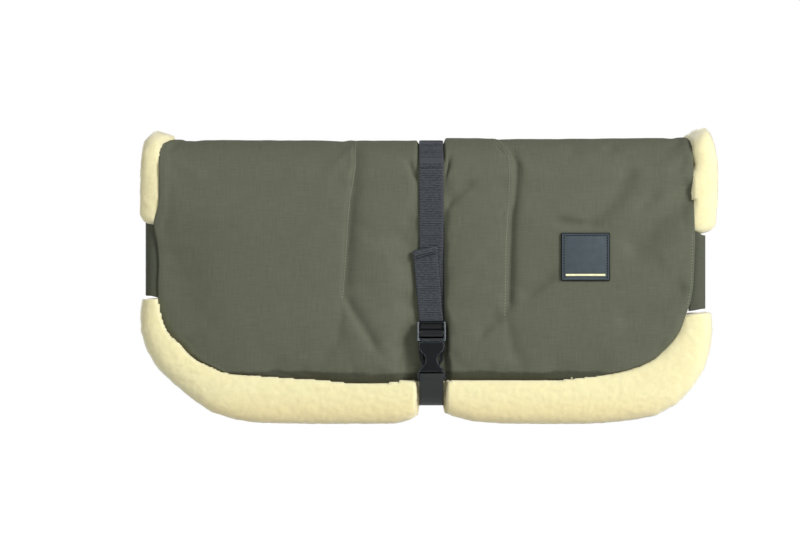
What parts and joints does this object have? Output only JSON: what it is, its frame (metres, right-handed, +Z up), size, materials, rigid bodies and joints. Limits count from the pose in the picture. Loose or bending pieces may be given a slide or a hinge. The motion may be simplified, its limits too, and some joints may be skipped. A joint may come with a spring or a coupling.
{
  "type": "pushchair hand muff",
  "caption": "Padded cloth muff lined with sheepskin, folded over a pushchair's handlebar and closed by a buckled strap and side tabs.",
  "frame": {"origin": "on the handlebar's axis inside the top fold, midway between the two side edges of the shell", "axes": "+X along the handlebar to the right as seen from the front, -Y the front with the buckle and label, +Z up"},
  "size_m": [0.5745, 0.1088, 0.2935],
  "materials": {
    "shell_cloth": "matt olive-grey woven cloth",
    "wadding": "white polyester wadding",
    "sheepskin": "soft cream wool pile",
    "webbing": "ribbed dark grey webbing",
    "buckle_plastic": "moulded, satin",
    "label_leather": "fine grain, pressed border",
    "label_stripe": "pale yellow inlay",
    "tab_cloth": "doubled olive-grey cloth",
    "stud_metal": "dark coated metal"
  },
  "bodies": {
    "root": {"outer_shell": "shell_cloth", "wadding": "wadding", "sheepskin_lining": "sheepskin", "left_handlebar_wool": "sheepskin", "right_handlebar_wool": "sheepskin", "front_left_lower_wool": "sheepskin", "front_right_lower_wool": "sheepskin", "back_left_lower_wool": "sheepskin", "back_right_lower_wool": "sheepskin", "left_tab": "tab_cloth", "right_tab": "tab_cloth", "left_upper_stud": "stud_metal", "left_lower_stud": "stud_metal", "right_upper_stud": "stud_metal", "right_lower_stud": "stud_metal", "upper_strap": "webbing", "lower_web": "webbing", "buckle_male_frame": "buckle_plastic", "label_patch": "label_leather", "label_stripe": "label_stripe"},
    "strap_tail": {"strap_tail": "webbing"},
    "left_flap": {"left_tab_flap": "tab_cloth", "left_upper_socket": "stud_metal", "left_upper_cap": "stud_metal", "left_lower_socket": "stud_metal", "left_lower_cap": "stud_metal"},
    "right_flap": {"right_tab_flap": "tab_cloth", "right_upper_socket": "stud_metal", "right_upper_cap": "stud_metal", "right_lower_socket": "stud_metal", "right_lower_cap": "stud_metal"},
    "buckle_female": {"buckle_female": "buckle_plastic"},
    "buckle_left_arm": {"buckle_left_arm": "buckle_plastic"},
    "buckle_right_arm": {"buckle_right_arm": "buckle_plastic"}
  },
  "joints": [
    {"name": "strap_tail_lift", "type": "hinge", "parent": "root", "child": "strap_tail", "pos_m": [0.0045, -0.0412, -0.1388], "axis": [1, 0, 0], "range_deg": [0, 140]},
    {"name": "left_tab_open", "type": "hinge", "parent": "root", "child": "left_flap", "pos_m": [-0.281, 0.0548, -0.075], "axis": [0, 0, 1], "range_deg": [0, 110]},
    {"name": "right_tab_open", "type": "hinge", "parent": "root", "child": "right_flap", "pos_m": [0.281, 0.0548, -0.088], "axis": [0, 0, -1], "range_deg": [0, 110]},
    {"name": "buckle_release", "type": "slide", "parent": "root", "child": "buckle_female", "axis": [0, 0, -1], "range_m": [0, 0.0255], "deforming": ["lower_web", "buckle_left_arm", "buckle_right_arm"]},
    {"name": "left_arm_squeeze", "type": "hinge", "parent": "root", "child": "buckle_left_arm", "pos_m": [-0.0045, -0.04175, -0.1573], "axis": [0, -1, 0], "range_deg": [0, 7], "stiffness_Nm_per_rad": 0.05},
    {"name": "right_arm_squeeze", "type": "hinge", "parent": "root", "child": "buckle_right_arm", "pos_m": [0.0135, -0.04175, -0.1573], "axis": [0, 1, 0], "range_deg": [0, 7], "stiffness_Nm_per_rad": 0.05}
  ],
  "couplings": [
    {"joint": "right_arm_squeeze", "follows": "left_arm_squeeze", "ratio": 1}
  ]
}
